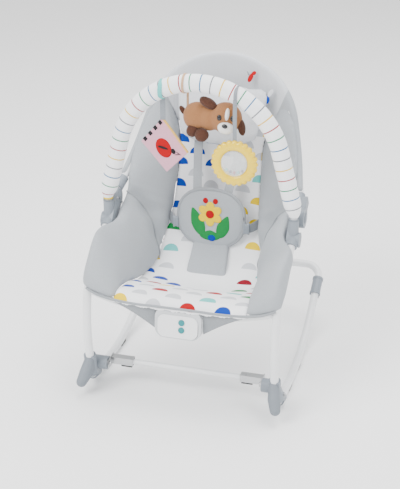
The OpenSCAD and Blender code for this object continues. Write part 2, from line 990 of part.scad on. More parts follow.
rocker_rail_left();
rocker_rail_right();
rear_base_tube();
rear_connector_left();
rear_connector_right();
rail_snap_pins();
rail_grip_pads();
front_foot_left();
front_foot_right();
foot_shoe_left();
foot_shoe_right();
frame_screws();
cross_tube();
cross_tube_brackets();
bracket_rivets();
fold_stops();
seat_side_tube_left();
seat_side_tube_right();
seat_front_tube();
side_hub_left();
side_hub_right();
hub_arm_left();
hub_arm_right();
hub_pivot_pins();
recline_button_left();
recline_button_right();
seat_back_tube();
toy_bar_tube();
toy_bar_sleeve();
toy_bar_plugs();
flag_strap();
flag_toy();
plush_strap();
plush_toy();
ring_strap();
rattle_ring();
rattle_windows();
rattle_beads();
seat_panel();
seat_bolster_left();
seat_bolster_right();
back_panel();
back_bolster_left();
back_bolster_right();
head_pillow();
crotch_panel();
belly_plate();
waist_straps();
waist_buckles();
shoulder_straps();
unit_skirt();
control_housing();
control_face();
control_button_upper();
control_button_lower();
control_board();
battery();
battery_door();
vibration_motor();
motor_weight();
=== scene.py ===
import bpy
import bmesh
import math
import numpy as np
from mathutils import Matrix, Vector


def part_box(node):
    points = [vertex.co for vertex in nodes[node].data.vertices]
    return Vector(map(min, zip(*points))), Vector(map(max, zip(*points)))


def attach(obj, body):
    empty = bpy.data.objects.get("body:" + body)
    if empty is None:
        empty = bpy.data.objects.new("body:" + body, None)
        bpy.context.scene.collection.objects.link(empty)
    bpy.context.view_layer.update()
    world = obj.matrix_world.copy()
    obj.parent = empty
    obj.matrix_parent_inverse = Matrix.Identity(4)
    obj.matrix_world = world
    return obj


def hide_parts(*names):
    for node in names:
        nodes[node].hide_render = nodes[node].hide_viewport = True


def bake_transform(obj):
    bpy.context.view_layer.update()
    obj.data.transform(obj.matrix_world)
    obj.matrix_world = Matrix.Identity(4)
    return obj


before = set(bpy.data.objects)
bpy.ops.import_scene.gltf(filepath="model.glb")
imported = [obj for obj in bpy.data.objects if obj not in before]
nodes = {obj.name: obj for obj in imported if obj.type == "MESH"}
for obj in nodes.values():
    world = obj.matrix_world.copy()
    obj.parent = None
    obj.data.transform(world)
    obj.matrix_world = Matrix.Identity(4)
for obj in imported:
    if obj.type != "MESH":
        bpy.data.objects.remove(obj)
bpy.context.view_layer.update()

crossTubeY = 0.050                       # the cross tube's distance behind the front legs
legY = sum(corner.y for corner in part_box("cross_tube")) / 2 - crossTubeY
backTilt = math.radians(67.5)            # slope of the upper back
backUp = np.array([0, math.cos(backTilt), math.sin(backTilt)])
backOut = np.array([0, -math.sin(backTilt), math.cos(backTilt)])
archCentre = np.array([0, 0.3379, 0.5387])   # middle of the back tube's round top, from the legs
toyY = 0.158                             # plane of the toy bar, from the legs
ringSpot = np.array([.086, .1367, .5395])    # middle of the rattle, which hangs from the bar's front
dogSpot = np.array([-.006, .0213, -.0099])   # the dog hangs from the bar's back

print("stage: helpers")


def smoothLine(points, count, even=False):
    # cubic curve through the points: parameter is chord length, or one step per point if even; central tangents
    p = np.array(points, float)
    s = np.concatenate([[0], np.cumsum(np.linalg.norm(np.diff(p, axis=0), axis=1))])
    s = np.arange(float(len(p))) if even else s
    slope = np.gradient(p, s, axis=0)
    t = np.linspace(0, s[-1], count)
    i = np.clip(np.searchsorted(s, t, side="right") - 1, 0, len(p) - 2)
    h = (s[i + 1] - s[i])[:, None]
    u = (t - s[i])[:, None] / h
    return ((1 + 2 * u) * (1 - u) ** 2 * p[i] + u * (1 - u) ** 2 * h * slope[i]
            + u * u * (3 - 2 * u) * p[i + 1] + u * u * (u - 1) * h * slope[i + 1])


def smoothRing(rings, count):
    # periodic cubic through each row's control points: rings is rows x points x 3
    k = rings.shape[1]
    t = np.linspace(0, k, count, endpoint=False)
    i = np.floor(t).astype(int)
    u = (t - i)[None, :, None]
    a, b, c, d = (rings[:, (i + n) % k] for n in (-1, 0, 1, 2))
    return 0.5 * (2 * b + (c - a) * u + (2 * a - 5 * b + 4 * c - d) * u ** 2 + (3 * b - a - 3 * c + d) * u ** 3)


def gridPiece(name, points, ring=False, uv=None, flags=None, shift=True):
    # a sheet of quads over rows x columns of points; ring joins the last column to the first
    p = np.array(points, float)
    if shift:
        p[..., 1] += legY
    rows, columns = p.shape[:2]
    index = np.arange(rows * columns).reshape(rows, columns)
    if ring:
        index = np.hstack([index, index[:, :1]])
    quads = np.stack([index[:-1, :-1], index[:-1, 1:], index[1:, 1:], index[1:, :-1]], -1).reshape(-1, 4)
    mesh = bpy.data.meshes.new(name)
    mesh.from_pydata(p.reshape(-1, 3).tolist(), [], quads.tolist())
    if uv is not None:
        layer = mesh.uv_layers.new(name="UVMap")
        layer.data.foreach_set("uv", np.array(uv, float).reshape(-1, 2)[quads.ravel()].ravel())
    if flags is not None:
        for key, values in flags.items():
            store = mesh.attributes.new(key, "FLOAT", "POINT")
            store.data.foreach_set("value", np.array(values, np.float32).ravel())
    piece = bpy.data.objects.new(name, mesh)
    bpy.context.scene.collection.objects.link(piece)
    tidyMesh(piece)
    return piece


def tidyMesh(piece):
    # merges doubled points, which closes seams and poles, drops flat slivers and turns the faces outwards
    work = bmesh.new()
    work.from_mesh(piece.data)
    bmesh.ops.remove_doubles(work, verts=work.verts, dist=2e-5)
    bmesh.ops.dissolve_degenerate(work, edges=work.edges, dist=1e-6)
    bmesh.ops.recalc_face_normals(work, faces=work.faces)
    work.to_mesh(piece.data)
    work.free()
    piece.data.polygons.foreach_set("use_smooth", np.ones(len(piece.data.polygons), bool))


def joined(name, pieces):
    # several pieces made into one
    bpy.ops.object.select_all(action="DESELECT")
    for piece in pieces:
        piece.select_set(True)
    bpy.context.view_layer.objects.active = pieces[0]
    bpy.ops.object.join()
    pieces[0].name = name
    pieces[0].data.name = name
    return pieces[0]


def applied(piece):
    # the piece with its modifiers applied
    bpy.context.view_layer.objects.active = piece
    for modifier in list(piece.modifiers):
        bpy.ops.object.modifier_apply(modifier=modifier.name)
    return piece


def solidified(piece, thickness):
    # a thin wall with soft rims
    wall = piece.modifiers.new("wall", "SOLIDIFY")
    wall.thickness = thickness
    wall.offset = 0
    applied(piece)
    smooth = piece.modifiers.new("smooth", "SUBSURF")
    smooth.levels = smooth.render_levels = 1
    return applied(piece)


def sweep(name, path, section, up=(0, 0, 1), capped=True):
    # a closed section, points x (side, up), carried along a path; its frame follows the tangent and up
    p = np.array(path, float)
    tangent = np.gradient(p, axis=0)
    tangent /= np.linalg.norm(tangent, axis=1)[:, None]
    side = np.cross(tangent, np.array(up, float))
    side /= np.linalg.norm(side, axis=1)[:, None]
    rise = np.cross(side, tangent)
    sec = np.array(section, float)
    sec = np.broadcast_to(sec, (len(p),) + sec.shape[-2:]) if sec.ndim == 2 else sec
    grid = p[:, None] + side[:, None] * sec[..., :1] + rise[:, None] * sec[..., 1:]
    length = np.concatenate([[0], np.cumsum(np.linalg.norm(np.diff(p, axis=0), axis=1))])
    if capped:
        first, last = (np.repeat(end[:, None], grid.shape[1], 1) for end in (p[:1], p[-1:]))
        grid = np.concatenate([first, grid, last])
        length = np.concatenate([[0], length, length[-1:]])
    around = np.linspace(0, 1, grid.shape[1])
    uv = np.stack(np.meshgrid(length, around, indexing="ij"), -1)
    return gridPiece(name, grid, ring=True, uv=uv)


def circleSection(radius, count):
    a = np.linspace(0, 2 * math.pi, count, endpoint=False)
    return np.stack([radius * np.cos(a), radius * np.sin(a)], -1)


def strapSection(width, thick):
    # a flat band with round edges
    a = np.linspace(0, 2 * math.pi, 20, endpoint=False)
    c, s = np.cos(a), np.sin(a)
    return np.stack([width / 2 * np.sign(c) * np.abs(c) ** 0.25, thick / 2 * np.sign(s) * np.abs(s) ** 0.6], -1)


def blob(centre, radii, turn, lumps):
    # an ellipsoid with low lumps, turned about Y: points as rows x columns
    v = np.linspace(-math.pi / 2, math.pi / 2, 24)[:, None]
    u = np.linspace(0, 2 * math.pi, 36, endpoint=False)[None]
    swell = 1 + lumps * np.sin(3 * u + 1) * np.cos(2 * v) * np.cos(v)
    x = np.cos(v) * np.cos(u) * radii[0] * swell
    y = np.cos(v) * np.sin(u) * radii[1] * swell
    z = np.sin(v) * radii[2] * swell
    c, s = math.cos(turn), math.sin(turn)
    return np.stack([centre[0] + c * x + s * z, centre[1] + y, centre[2] - s * x + c * z], -1)


def inflate(piece, pressure, cap, voxel=0.005):
    # cloth under pressure with no gravity; each point moves at most cap
    remesh = piece.modifiers.new("remesh", "REMESH")
    remesh.mode = "VOXEL"
    remesh.voxel_size = voxel
    applied(piece)
    start = np.zeros(len(piece.data.vertices) * 3)
    piece.data.vertices.foreach_get("co", start)
    cloth = piece.modifiers.new("cloth", "CLOTH")
    cloth.settings.use_pressure = True
    cloth.settings.uniform_pressure_force = pressure
    cloth.settings.effector_weights.gravity = 0
    cloth.settings.quality = 4
    cloth.settings.mass = 0.3
    scene = bpy.context.scene
    for step in range(1, 21):
        scene.frame_set(step)
    after = piece.evaluated_get(bpy.context.evaluated_depsgraph_get()).to_mesh()
    end = np.zeros(len(start))
    after.vertices.foreach_get("co", end)
    piece.modifiers.remove(cloth)
    scene.frame_set(1)
    move = (end - start).reshape(-1, 3)
    far = np.linalg.norm(move, axis=1)[:, None]
    kept = start.reshape(-1, 3) + move * np.minimum(1, cap / np.maximum(far, 1e-9))
    piece.data.vertices.foreach_set("co", kept.ravel())
    piece.data.update()
    soft = piece.modifiers.new("soft", "SMOOTH")
    soft.iterations = 3
    finer = piece.modifiers.new("finer", "SUBSURF")
    finer.levels = finer.render_levels = 1
    applied(piece)
    piece.data.polygons.foreach_set("use_smooth", np.ones(len(piece.data.polygons), bool))
    return piece


def newMaterial(name, **values):
    material = bpy.data.materials.new(name)
    material.use_nodes = True
    tree = material.node_tree
    tree.nodes.clear()
    out = tree.nodes.new("ShaderNodeOutputMaterial")
    surface = tree.nodes.new("ShaderNodeBsdfPrincipled")
    tree.links.new(surface.outputs[0], out.inputs[0])
    for key, value in values.items():
        surface.inputs[key].default_value = value
    return material, tree, surface


def add(tree, kind, inputs=None, **props):
    node = tree.nodes.new("ShaderNode" + kind)
    for key, value in props.items():
        setattr(node, key, value)
    for key, value in (inputs or {}).items():
        if isinstance(value, bpy.types.NodeSocket):
            tree.links.new(value, node.inputs[key])
        else:
            node.inputs[key].default_value = value
    return node.outputs[0]


def calc(tree, operation, a, b=0.0, c=0.0):
    return add(tree, "Math", {0: a, 1: b, 2: c}, operation=operation)


def mixed(tree, factor, a, b):
    node = tree.nodes.new("ShaderNodeMix")
    node.data_type = "RGBA"
    for socket, value in ((node.inputs[0], factor), (node.inputs[6], a), (node.inputs[7], b)):
        if isinstance(value, bpy.types.NodeSocket):
            tree.links.new(value, socket)
        else:
            socket.default_value = value
    return node.outputs[2]


def objectCoords(tree, scale=(1, 1, 1)):
    coords = tree.nodes.new("ShaderNodeTexCoord").outputs["Object"]
    return add(tree, "Mapping", {"Vector": coords, "Scale": scale})


def noise(tree, scale, detail=2.0, stretch=(1, 1, 1)):
    return add(tree, "TexNoise", {"Vector": objectCoords(tree, stretch), "Scale": scale, "Detail": detail})


def setBump(tree, surface, height, strength, distance):
    node = tree.nodes.new("ShaderNodeBump")
    node.inputs["Strength"].default_value = strength
    node.inputs["Distance"].default_value = distance
    tree.links.new(height, node.inputs["Height"])
    tree.links.new(node.outputs[0], surface.inputs["Normal"])


def rgba(colour):
    return (*colour, 1.0)


def shade(colour, factor):
    return tuple(min(1.0, c * factor) for c in colour)


def fabric(name, colour, contrast=0.10, thread=1300.0, pattern=None, ribs=0.0, rough=0.9, sheen=0.12):
    # cloth: melange of two tones, a fine weave and long soft wrinkles; pattern(tree, base) may draw on it
    values = {"Roughness": rough, "Sheen Weight": sheen, "Sheen Roughness": 0.5, "Specular IOR Level": 0.2}
    material, tree, surface = newMaterial(name, **values)
    streak = noise(tree, 420.0, 3.0, (1, 1, 3.5))
    spread = add(tree, "MapRange", {0: streak, 1: 0.35, 2: 0.65})
    base = mixed(tree, spread, rgba(shade(colour, 1 - contrast)), rgba(shade(colour, 1 + contrast * 0.6)))
    if pattern:
        base = pattern(tree, base)
    tree.links.new(base, surface.inputs["Base Color"])
    weave = add(tree, "TexVoronoi", {"Vector": objectCoords(tree), "Scale": thread})
    wrinkle = noise(tree, 28.0, 3.0, (1, 1, 0.6))
    height = calc(tree, "MULTIPLY_ADD", weave, 0.25, wrinkle)
    if ribs:
        x = add(tree, "SeparateXYZ", {0: objectCoords(tree)})
        rib = calc(tree, "SINE", calc(tree, "MULTIPLY", x, 2 * math.pi / ribs))
        height = calc(tree, "MULTIPLY_ADD", rib, 0.22, height)
    setBump(tree, surface, height, 0.35, 0.0016)
    return material


def plastic(name, colour, rough=0.42, grain=1500.0, bump=0.12, **more):
    # moulded plastic: slight tone drift, uneven gloss and a fine texture
    material, tree, surface = newMaterial(name, **more)
    drift = noise(tree, 14.0, 2.0)
    tone = mixed(tree, drift, rgba(shade(colour, 0.94)), rgba(shade(colour, 1.05)))
    tree.links.new(tone, surface.inputs["Base Color"])
    gloss = add(tree, "MapRange", {0: noise(tree, 60.0, 4.0), 3: rough - 0.06, 4: rough + 0.07})
    tree.links.new(gloss, surface.inputs["Roughness"])
    setBump(tree, surface, noise(tree, grain, 2.0), bump, 0.0003)
    return material


palette = {
    "white": (0.90, 0.91, 0.93), "pale": (0.56, 0.575, 0.61), "red": (0.36, 0.002, 0.006),
    "blue": (0.002, 0.040, 0.32), "yellow": (0.80, 0.56, 0.0), "teal": (0.12, 0.50, 0.48),
    "green": (0.006, 0.20, 0.045), "maroon": (0.22, 0.0, 0.012), "melange": (0.36, 0.385, 0.41),
    "jersey": (0.56, 0.58, 0.61), "webbing": (0.24, 0.26, 0.285), "greyPart": (0.22, 0.25, 0.285),
    "pink": (0.62, 0.32, 0.40), "tan": (0.30, 0.135, 0.055), "brown": (0.075, 0.03, 0.018),
}


def onFront(tree):
    # 1 on a piece's front side, 0 on its back
    side = add(tree, "Attribute", attribute_name="front").node.outputs["Fac"]
    return calc(tree, "GREATER_THAN", side, 0.5)


# the pale panel of the headrest: its lower edge, and half its width at one height, widening upwards by spread
palePanel = {"bottom": 0.50, "at": 0.53, "half": 0.106, "spread": 0.42}


def keystone(tree, base):
    # the pale panel drawn on the grey cloth, on the front only
    x, z = (add(tree, "SeparateXYZ", {0: objectCoords(tree)}).node.outputs[i] for i in (0, 2))
    limit = calc(tree, "MULTIPLY_ADD", calc(tree, "SUBTRACT", z, palePanel["at"]), palePanel["spread"],
                 palePanel["half"])
    inside = calc(tree, "LESS_THAN", calc(tree, "ABSOLUTE", x), limit)
    high = calc(tree, "GREATER_THAN", z, palePanel["bottom"])
    mask = calc(tree, "MULTIPLY", calc(tree, "MULTIPLY", inside, high), onFront(tree))
    return mixed(tree, mask, base, rgba(palette["jersey"]))


def halfRounds(tree, base):
    # one half-round dot per cell of the panel's own UV map; its colour is stored on the faces' corners
    uv = tree.nodes.new("ShaderNodeUVMap").outputs[0]
    split = add(tree, "SeparateXYZ", {0: uv}).node.outputs
    row = calc(tree, "FLOOR", calc(tree, "DIVIDE", split[1], dots["rowPitch"]))
    shift = calc(tree, "MULTIPLY", calc(tree, "MODULO", calc(tree, "ADD", row, 40.0), 2.0), dots["pitch"] / 2)
    across = calc(tree, "SUBTRACT", calc(tree, "SUBTRACT", split[0], dots["start"]), shift)
    cell = calc(tree, "FRACT", calc(tree, "DIVIDE", across, dots["pitch"]))
    u = calc(tree, "MULTIPLY", calc(tree, "SUBTRACT", cell, 0.5), dots["pitch"])
    v = calc(tree, "SUBTRACT", calc(tree, "SUBTRACT", split[1], calc(tree, "MULTIPLY", row, dots["rowPitch"])),
             dots["lift"])
    far = calc(tree, "SQRT", calc(tree, "ADD", calc(tree, "MULTIPLY", u, u), calc(tree, "MULTIPLY", v, v)))
    mask = calc(tree, "MULTIPLY", calc(tree, "LESS_THAN", far, dots["radius"]), calc(tree, "GREATER_THAN", v, 0.0))
    colour = add(tree, "Attribute", attribute_name="dotColour")
    return mixed(tree, onFront(tree), rgba(palette["melange"]), mixed(tree, mask, base, colour))


dots = {
    "pitch": 0.079, "rowPitch": 0.0265, "radius": 0.0185, "lift": 0.004, "start": -0.1765,
    # rows from the front edge upwards, columns from left to right; p pale, w none
    "rows": ["yprb", "pptp", "brpp", "pprg", "bypt", "rppr", "pbwg", "bwwp", "bwwm", "pwwt", "ywwp",
             "twwt", "rppy", "gpwt", "rppy", "bpyp", "gbpy", "bppb", "wpyt", "bbpy"],
}
letters = {"p": "pale", "w": "white", "y": "yellow", "r": "red", "b": "blue", "t": "teal", "g": "green",
           "m": "maroon"}


def sleeveStripes(tree, base):
    # thin stitched stripes across the sleeve, every pitch along its UV map, in five colours by turns
    uv = tree.nodes.new("ShaderNodeUVMap").outputs[0]
    along = add(tree, "SeparateXYZ", {0: uv})
    turn = calc(tree, "DIVIDE", along, stripe["pitch"])
    away = calc(tree, "ABSOLUTE", calc(tree, "SUBTRACT", calc(tree, "FRACT", turn), 0.5))
    line = calc(tree, "LESS_THAN", away, stripe["width"] / stripe["pitch"] / 2)
    which = calc(tree, "FRACT", calc(tree, "DIVIDE", calc(tree, "FLOOR", turn), 5.0))
    ramp = tree.nodes.new("ShaderNodeValToRGB")
    ramp.color_ramp.interpolation = "CONSTANT"
    for i, key in enumerate(stripe["colours"]):
        stop = ramp.color_ramp.elements[i] if i < 2 else ramp.color_ramp.elements.new(i / 5)
        stop.position = max(0.0, i / 5 - 0.05)
        stop.color = rgba(stripe[key])
    tree.links.new(which, ramp.inputs[0])
    return mixed(tree, line, base, ramp.outputs[0])


stripe = {"pitch": 0.0232, "width": 0.0026, "colours": ["red", "green", "blue", "grey", "yellow"],
          "red": (0.34, 0.01, 0.02), "green": (0.01, 0.22, 0.10), "blue": (0.004, 0.12, 0.28),
          "grey": (0.16, 0.17, 0.19), "yellow": (0.72, 0.46, 0.01)}

print("stage: materials")
melange = fabric("melangeCloth", palette["melange"], 0.09)
backCloth = fabric("backCloth", palette["melange"], 0.09, pattern=keystone, ribs=0.007)
jersey = fabric("paleJersey", palette["jersey"], 0.04, ribs=0.007)
printed = fabric("printedJersey", palette["white"], 0.02, pattern=halfRounds)
darkCloth = fabric("skirtCloth", shade(palette["melange"], 0.72), 0.10)
pipingCloth = fabric("pipingCloth", shade(palette["melange"], 0.80), 0.06, 1800)
webbing = fabric("webbingCloth", palette["webbing"], 0.14, 900, sheen=0.0)
sleeveCloth = fabric("sleeveCloth", palette["white"], 0.02, pattern=sleeveStripes)
pinkCloth = fabric("pinkCloth", palette["pink"], 0.05)
tanPile = fabric("tanPile", palette["tan"], 0.16, 700)
brownPile = fabric("brownPile", palette["brown"], 0.25, 700)
creamPile = fabric("creamPile", (0.80, 0.78, 0.74), 0.06, 700)
felt = {key: fabric("felt_" + key, palette[key], 0.08, 1600, sheen=0.0)
        for key in ("red", "blue", "yellow", "green", "teal")}
blackFelt = fabric("blackFelt", (0.015, 0.014, 0.016), 0.2, 1600)
goldRibbon = fabric("goldRibbon", (0.70, 0.42, 0.09), 0.12, 1600, rough=0.5)
tanWebbing = fabric("tanWebbing", (0.52, 0.33, 0.20), 0.12, 1000)
whitePaint = plastic("whitePowderCoat", (0.80, 0.81, 0.82), 0.34, 420.0, 0.06,
                     **{"Coat Weight": 0.25, "Coat Roughness": 0.2})
greyPlastic = plastic("greyPlastic", palette["greyPart"], 0.46)
shoeRubber = plastic("shoeRubber", shade(palette["greyPart"], 0.82), 0.6, 900.0, 0.2)
unitGrey = plastic("unitGrey", (0.56, 0.58, 0.60), 0.42)
unitWhite = plastic("unitWhite", (0.82, 0.83, 0.84), 0.34, 1500.0, 0.05)
tealPlastic = plastic("tealPlastic", (0.004, 0.20, 0.22), 0.3, 1200.0, 0.05)
yellowPlastic = plastic("yellowPlastic", (0.82, 0.56, 0.0), 0.28, 600.0, 0.05, **{"Coat Weight": 0.3})
blackRubber = plastic("blackRubber", (0.02, 0.02, 0.022), 0.75, 900.0, 0.3)
steel = plastic("zincSteel", (0.52, 0.53, 0.54), 0.3, 260.0, 0.08, Metallic=1.0)
brass = plastic("brassMetal", (0.62, 0.46, 0.18), 0.3, 300.0, 0.08, Metallic=1.0)
circuit = plastic("solderMask", (0.02, 0.14, 0.05), 0.4)
window = plastic("clearWindow", (0.92, 0.95, 0.97), 0.12, 300.0, 0.03, **{"Alpha": 0.22})
glossBlack = plastic("glossBlack", (0.01, 0.01, 0.012), 0.15, 600.0, 0.02)


def beadMaterial():
    # beads of three colours by their place across the ring
    material, tree, surface = newMaterial("beadPlastic", Roughness=0.2)
    x = add(tree, "SeparateXYZ", {0: objectCoords(tree)})
    cell = calc(tree, "MODULO", calc(tree, "FLOOR", calc(tree, "DIVIDE", calc(tree, "ADD", x, 1.0), 0.009)), 3.0)
    first = mixed(tree, calc(tree, "LESS_THAN", cell, 0.5), rgba(palette["teal"]), rgba(palette["red"]))
    tree.links.new(mixed(tree, calc(tree, "GREATER_THAN", cell, 1.5), first, rgba((0.05, 0.02, 0.05))),
                   surface.inputs["Base Color"])
    setBump(tree, surface, noise(tree, 500.0), 0.05, 0.0002)
    return material


finishes = [
    (whitePaint, "rocker_rail_left rocker_rail_right rear_base_tube cross_tube seat_side_tube_left "
                 "seat_side_tube_right seat_front_tube seat_back_tube"),
    (greyPlastic, "rear_connector_left rear_connector_right front_foot_left front_foot_right side_hub_left "
                  "side_hub_right hub_arm_left hub_arm_right toy_bar_plugs recline_button_left recline_button_right"),
    (shoeRubber, "foot_shoe_left foot_shoe_right"),
    (steel, "rail_snap_pins frame_screws cross_tube_brackets bracket_rivets hub_pivot_pins vibration_motor"),
    (blackRubber, "rail_grip_pads fold_stops"),
    (unitGrey, "control_housing battery_door toy_bar_tube"),
    (unitWhite, "control_face"),
    (tealPlastic, "control_button_upper control_button_lower"),
    (circuit, "control_board"),
    (brass, "battery motor_weight"),
    (window, "rattle_windows"),
    (beadMaterial(), "rattle_beads"),
]
for material, names in finishes:
    for name in names.split():
        nodes[name].data.materials.clear()
        nodes[name].data.materials.append(material)


def done(piece, material, body, slot, *stands, pad=None):
    # gives a finished piece its material, its body and the CAD nodes that it stands for; its slot is not used
    piece.data.materials.clear()
    piece.data.materials.append(material)
    if body:
        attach(piece, body)
    if stands:
        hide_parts(*stands)
    return piece


print("stage: seat cushions")
# lines of the right side cushion, one point per station from the front corner to the headrest: the seam with the
# printed panel, the crown's outer edge, the outer side round the frame tubes and the line beneath them
cushion = {
    "seam": [(.150, -.011, .240), (.1505, .010, .2535), (.149, .040, .2525), (.145, .090, .243), (.142, .140, .228),
             (.136, .190, .226), (.124, .245, .250), (.106, .300, .345), (.101, .320, .400), (.100, .338, .450),
             (.100, .352, .505), (.109, .364, .550), (.128, .378, .605)],
    "crown": [(.212, -.011, .268), (.219, .006, .302), (.223, .030, .329), (.227, .070, .353), (.225, .108, .363),
              (.2026, .152, .372), (.2010, .192, .390), (.1975, .226, .412), (.2010, .254, .450), (.1995, .284, .489),
              (.189, .314, .533), (.176, .344, .580), (.160, .368, .622)],
    "outer": [(.2270, .000, .258), (.2290, .012, .276), (.2295, .036, .294), (.2295, .078, .320), (.2280, .108, .339),
              (.2026, .150, .352), (.2008, .196, .368), (.1960, .242, .396), (.1985, .268, .438), (.1960, .300, .479),
              (.185, .332, .525), (.172, .356, .570), (.158, .374, .617)],
    "under": [(.205, .006, .250), (.205, .018, .260), (.205, .040, .274), (.205, .084, .301), (.203, .118, .322),
              (.190, .158, .332), (.180, .205, .337), (.175, .262, .377), (.180, .288, .425), (.175, .318, .470),
              (.165, .345, .517), (.155, .368, .563), (.146, .382, .612)],
    "pad": [.009, .015, .020, .023, .024, .025, .027, .022, .021, .019, .015, .010, .004],
    "crease": 0.75, "creaseFrom": 5.75, "creaseTo": 6.95, "below": 0.009, "fill": 0.7, "piping": 0.0017,
}
stations = 190


def sideCushion(side):
    # loops through the seam, a padded crown, the outer side and back beneath; a crease where the recline hinge is
    seam, crown, outer, under = (smoothLine(cushion[line], stations, True)
                                 for line in ("seam", "crown", "outer", "under"))
    across = crown - seam
    out = np.cross(np.gradient(seam, axis=0), across)
    out /= np.linalg.norm(out, axis=1)[:, None]
    out *= np.sign(out[:, 2:3] - out[:, 1:2])
    last = len(cushion["pad"]) - 1
    k = np.linspace(0, last, stations)[:, None]
    ends = np.clip(np.minimum(k / 0.5, (last - k) / 1.2), 0, 1) ** 0.5
    full = np.interp(k, np.arange(last + 1), cushion["pad"]) * ends
    # the crease runs slantwise: its station grows from the seam out to the crown
    spots = np.array([0, 0.24, 0.56, 0.88, 1.0])
    creaseAt = cushion["creaseFrom"] + (cushion["creaseTo"] - cushion["creaseFrom"]) * spots ** 0.6
    one, two, three, four = (full * (1 - cushion["crease"] * np.exp(-((k - c) / 0.24) ** 2)) for c in creaseAt[1:])
    below = cushion["below"] * ends
    loops = np.stack([
        seam, seam + 0.24 * across + 0.75 * one * out, seam + 0.56 * across + two * out,
        seam + 0.88 * across + 0.75 * three * out, crown + 0.2 * four * out, outer, under,
        seam + 0.5 * (under - seam) - below * out], 1)
    middle = loops.mean(1, keepdims=True)
    loops = middle + (loops - middle) * (0.55 + 0.45 * ends[:, None])
    around = 80
    grid = smoothRing(loops, around)
    t = np.linspace(0, 2 * math.pi, around, endpoint=False)[None]
    wave = np.sin(t * 2 + k * 1.3) + 0.6 * np.sin(t * 5 - k * 2.1 + 1)
    fold = np.sin(k * 17 + 2.0 * np.sin(t)) * np.exp(-((k - cushion["creaseTo"]) / 0.9) ** 2)
    grid = grid + out[:, None] * ((0.0007 * wave + 0.0011 * fold) * ends)[..., None]
    grid = np.concatenate([grid[:1].mean(1, keepdims=True).repeat(around, 1), grid,
                           grid[-1:].mean(1, keepdims=True).repeat(around, 1)])
    grid[..., 0] *= side
    word = "Right" if side > 0 else "Left"
    # the piping lies in the crease: one point per column from the seam to the crown
    columns = np.arange(1, around // 2 + 1)
    rows = 1 + np.interp(columns / around * 8, np.arange(5), creaseAt) / last * (stations - 1)
    low = np.floor(rows).astype(int)
    path = grid[low, columns] + (grid[low + 1, columns] - grid[low, columns]) * (rows - low)[:, None]
    path += out[low - 1] * [side, 1, 1] * 0.0024
    cord = sweep("sidePiping" + word, smoothLine(path, 90), circleSection(cushion["piping"], 10))
    return gridPiece("sideCushion" + word, grid, ring=True), cord


for side, word in ((-1, "left"), (1, "right")):
    piece, cord = sideCushion(side)
    done(inflate(piece, 3.0, 0.0015), melange, None, "grey_fabric", "seat_bolster_" + word, "back_bolster_" + word,
         pad=cushion["fill"])
    done(cord, pipingCloth, None, "grey_fabric")
    for each in (piece, cord):
        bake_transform(each)

print("stage: printed panel")
panelMiddle = [(0, -.014, .236), (0, .004, .2525), (0, .038, .2545), (0, .090, .240), (0, .140, .219), (0, .195, .217),
               (0, .250, .252), (0, .306, .345), (0, .328, .400), (0, .345, .450), (0, .358, .505), (0, .366, .545)]


def printedPanel():
    # rows across, each a shallow curve from seam to seam through the middle line; a thin closed pad
    rows, half = 150, 44
    edge = smoothLine(cushion["seam"][:len(panelMiddle)], rows, True)
    middle = smoothLine(panelMiddle, rows, True)
    v = np.linspace(0, 1, rows)
    x = np.linspace(-1, 1, 2 * half + 1)
    dip = np.abs(x)[None, :, None] ** 2.2
    surface = middle[:, None] * (1 - dip) + edge[:, None] * [0, 1, 1] * dip
    surface[..., 0] = edge[:, None, 0] * x[None] * 1.02
    pucker = 0.0012 * np.sin(x * 26)[None] * np.exp(-v / 0.05)[:, None]
    surface[..., 2] += pucker + 0.0010 * np.sin(x * 9 + 1)[None] * np.sin(v * 40)[:, None]
    du, dv = np.gradient(surface, axis=1), np.gradient(surface, axis=0)
    normal = np.cross(du, dv)
    normal /= np.linalg.norm(normal, axis=2)[..., None]
    thick = 0.004 * (np.clip((1 - np.abs(x)) / 0.06, 0, 1) ** 0.5)[None, :, None]
    thick = thick * (np.clip(np.minimum(v, 1 - v) / 0.02, 0, 1) ** 0.5)[:, None, None]
    upper, lower = surface + normal * thick, surface - normal * thick
    grid = np.concatenate([upper, lower[:, ::-1]], 1)
    along = np.concatenate([[0], np.cumsum(np.linalg.norm(np.diff(middle, axis=0), axis=1))])
    u = surface[..., 0]
    uv = np.stack([u, np.broadcast_to(along[:, None], u.shape)], -1)
    uv = np.concatenate([uv, uv[:, ::-1]], 1)
    front = np.concatenate([np.ones(u.shape), np.zeros(u.shape)], 1)
    piece = gridPiece("printedPanel", grid, ring=True, uv=uv, flags={"front": front})
    mesh = piece.data
    spots = np.zeros(len(mesh.loops) * 2)
    mesh.uv_layers[0].data.foreach_get("uv", spots)
    spots = spots.reshape(-1, 2)
    starts = np.zeros(len(mesh.polygons), int)
    counts = np.zeros(len(mesh.polygons), int)
    mesh.polygons.foreach_get("loop_start", starts)
    mesh.polygons.foreach_get("loop_total", counts)
    middleOf = np.add.reduceat(spots, starts, axis=0) / counts[:, None]
    row = np.clip(np.floor(middleOf[:, 1] / dots["rowPitch"]).astype(int), 0, len(dots["rows"]) - 1)
    column = np.floor((middleOf[:, 0] - dots["start"] - (row % 2) * dots["pitch"] / 2) / dots["pitch"]).astype(int)
    table = np.array([[rgba(palette[letters[c]]) for c in line] for line in dots["rows"]])
    colours = table[row, np.clip(column, 0, 3)]
    store = mesh.attributes.new("dotColour", "FLOAT_COLOR", "CORNER")
    store.data.foreach_set("color", np.repeat(colours, counts, axis=0).astype(np.float32).ravel())
    return piece


panel = printedPanel()
done(panel, printed, None, "print_fabric", "seat_panel", pad=0.15)
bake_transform(panel)

print("stage: backrest")
tubeLine = [(.2085, .2500, .4385), (.195, .3006, .4862), (.1725, .350, .568), (.1702, .3535, .5765)]


